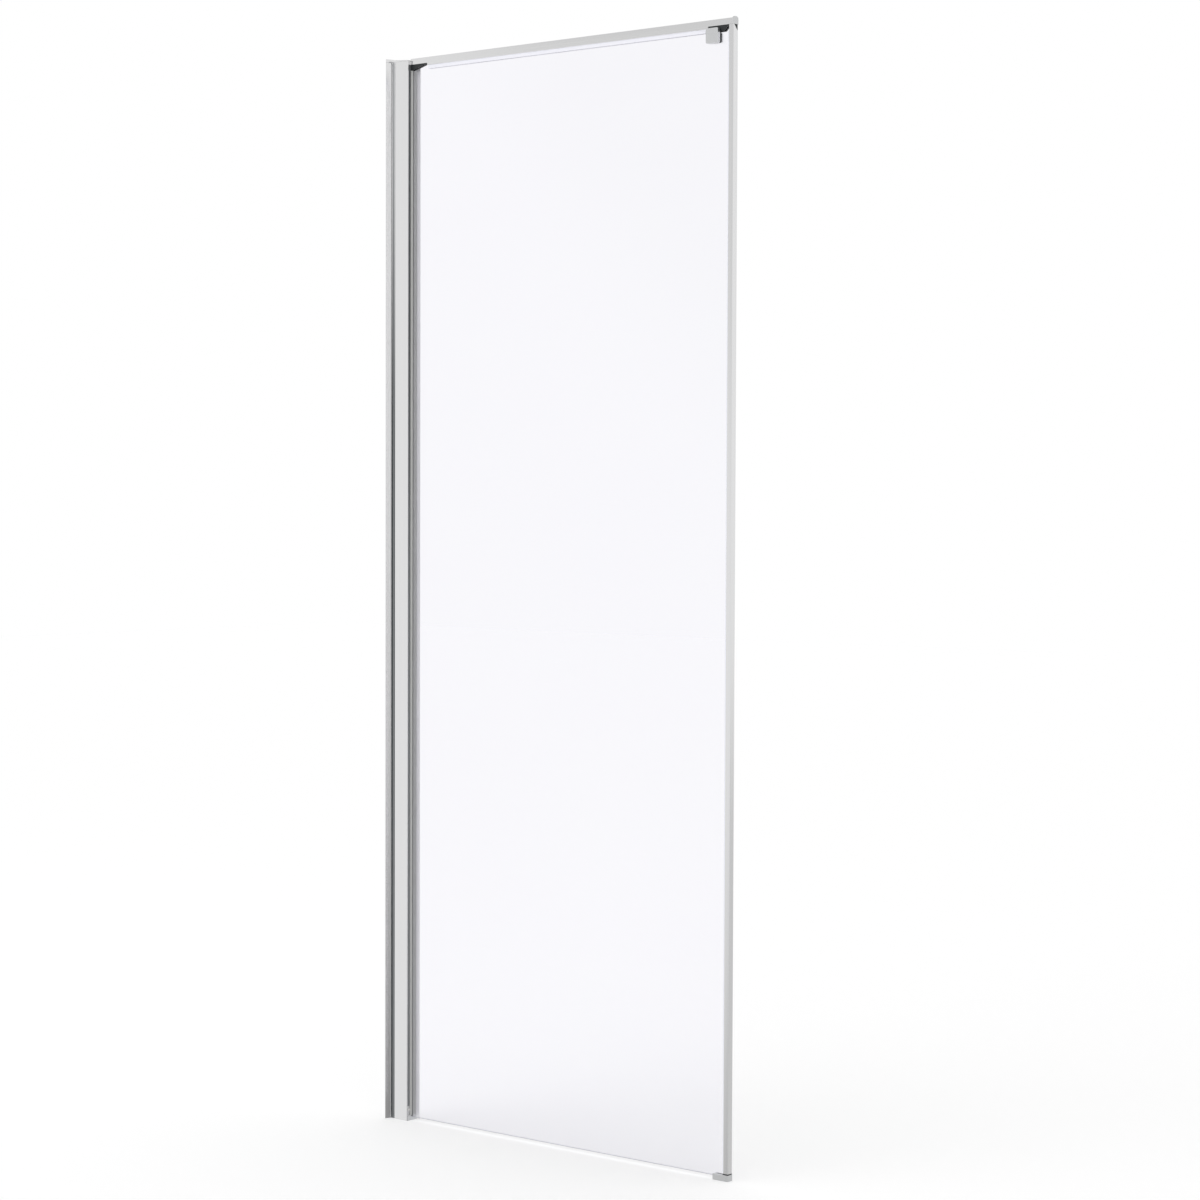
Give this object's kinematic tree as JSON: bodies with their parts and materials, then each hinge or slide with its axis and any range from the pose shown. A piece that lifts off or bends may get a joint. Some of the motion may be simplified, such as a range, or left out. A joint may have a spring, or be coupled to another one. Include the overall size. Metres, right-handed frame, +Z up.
{
  "type": "shower side panel",
  "caption": "Fixed glass side panel for a shower: clear pane in bright aluminium profiles, with a wall channel that adjusts the width, a top rail, corner clamp, edge post and foot.",
  "frame": {"origin": "on the wall, in the middle plane of the glass, at the level of the shower tray", "axes": "+X from the wall to the free edge, +Y from the dry side to the shower side, +Z up"},
  "size_m": [0.8, 0.048, 2],
  "materials": {
    "bright_aluminium": "polished and anodised",
    "satin_chrome": "satin chrome plating on zinc",
    "stainless_steel": "turned",
    "clear_glass": "clear, toughened, ground edges",
    "clear_pvc": "translucent",
    "black_rubber": "matt",
    "grey_rubber": "matt",
    "black_nylon": "moulded, fine grain",
    "grey_nylon": "moulded, fine grain"
  },
  "bodies": {
    "wall": {"wall_channel": "bright_aluminium", "channel_top_cap": "bright_aluminium", "adjusting_screws": "stainless_steel"},
    "panel": {"adjusting_profile": "bright_aluminium", "profile_top_cap": "bright_aluminium", "profile_foot_plug": "grey_nylon", "plug_screw": "stainless_steel", "front_bulb_seal": "black_rubber", "front_glazing_gasket": "grey_rubber", "rear_glazing_gasket": "grey_rubber", "edge_packers": "grey_nylon", "glass_pane": "clear_glass", "top_rail": "bright_aluminium", "rail_seal_front": "clear_pvc", "rail_seal_rear": "clear_pvc", "rail_saddle_wall": "black_nylon", "rail_saddle_post": "black_nylon", "rail_screws": "stainless_steel", "rail_end_cap": "grey_nylon", "clamp_front_plate": "satin_chrome", "clamp_front_pad": "black_rubber", "clamp_bush": "grey_nylon", "clamp_rear_pad": "black_rubber", "clamp_rear_plate": "satin_chrome", "clamp_screw": "stainless_steel", "edge_post": "bright_aluminium", "post_gasket": "clear_pvc", "post_top_plug": "black_nylon", "foot_gasket": "black_rubber", "post_foot": "satin_chrome", "foot_packer": "grey_nylon", "foot_grub_screws": "stainless_steel", "screw_cover_bottom": "grey_nylon", "screw_cover_middle": "grey_nylon", "screw_cover_top": "grey_nylon"}
  },
  "joints": [
    {"name": "width_adjust", "type": "slide", "parent": "wall", "child": "panel", "axis": [1, 0, 0], "range_m": [-0.0095, 0.0105]}
  ]
}
